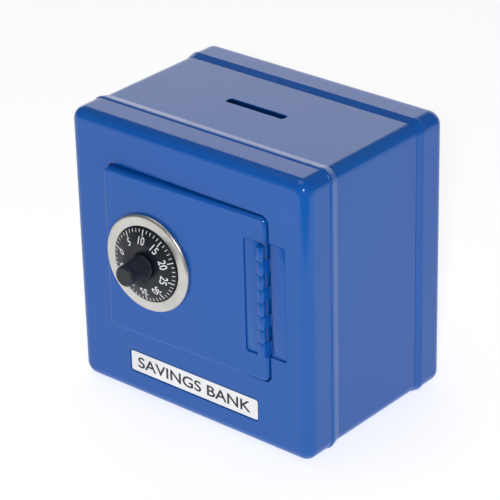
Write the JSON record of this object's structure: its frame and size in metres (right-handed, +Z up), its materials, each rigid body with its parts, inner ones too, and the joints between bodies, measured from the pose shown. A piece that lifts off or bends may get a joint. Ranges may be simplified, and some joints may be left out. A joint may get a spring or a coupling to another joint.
{
  "type": "toy safe coin bank",
  "caption": "Blue pressed-steel toy safe coin bank with a coin slot, a hinged door standing slightly ajar, and a black numbered combination dial in a brushed steel ring.",
  "frame": {"origin": "Middle of the outline on the ground: centred left to right and front to back (knob tip to back face), on the plane of the two rims the safe stands on.", "axes": "+X to the hinge side (right, seen from the front), +Y from the door to the back, +Z up."},
  "size_m": [0.151, 0.1306, 0.151],
  "materials": {
    "case_paint": "gloss",
    "zinc_plate": "satin",
    "plate_alu": "brushed",
    "hinge_steel": "satin",
    "ring_steel": "brushed",
    "bush_brass": "satin",
    "dial_black": "satin",
    "knob_black": "satin"
  },
  "bodies": {
    "case": {"body_wrap": "case_paint", "front_cap": "case_paint", "rear_cap": "case_paint", "strike_plate": "zinc_plate", "door_stops": "zinc_plate", "name_plate": "plate_alu", "frame_leaf": "case_paint", "hinge_pin": "hinge_steel"},
    "door": {"door_panel": "case_paint", "door_leaf": "case_paint", "dial_ring": "ring_steel", "spindle_bush": "bush_brass", "lock_bridge": "zinc_plate"},
    "dial": {"dial_disc": "dial_black", "dial_knob": "knob_black", "lock_spindle": "hinge_steel", "spring_washer": "hinge_steel", "front_lock_disc": "zinc_plate", "disc_spacers": "bush_brass", "retaining_clip": "hinge_steel"},
    "middle_disc": {"middle_lock_disc": "zinc_plate"},
    "rear_disc": {"rear_lock_disc": "zinc_plate"}
  },
  "joints": [
    {"name": "door_hinge", "type": "hinge", "parent": "case", "child": "door", "pos_m": [0.0499, -0.04545, 0.0843], "axis": [0, 0, 1], "range_deg": [-1.91, 180]},
    {"name": "dial_turn", "type": "hinge", "parent": "door", "child": "dial", "pos_m": [-0.02133, -0.04572, 0.0827], "axis": [0.0333, -0.9994, 0], "continuous": true},
    {"name": "middle_disc_turn", "type": "hinge", "parent": "door", "child": "middle_disc", "pos_m": [-0.02133, -0.04572, 0.0827], "axis": [0.0333, -0.9994, 0], "continuous": true},
    {"name": "rear_disc_turn", "type": "hinge", "parent": "door", "child": "rear_disc", "pos_m": [-0.02133, -0.04572, 0.0827], "axis": [0.0333, -0.9994, 0], "continuous": true}
  ],
  "couplings": [
    {"joint": "middle_disc_turn", "follows": "dial_turn", "ratio": 1},
    {"joint": "rear_disc_turn", "follows": "dial_turn", "ratio": 1}
  ]
}
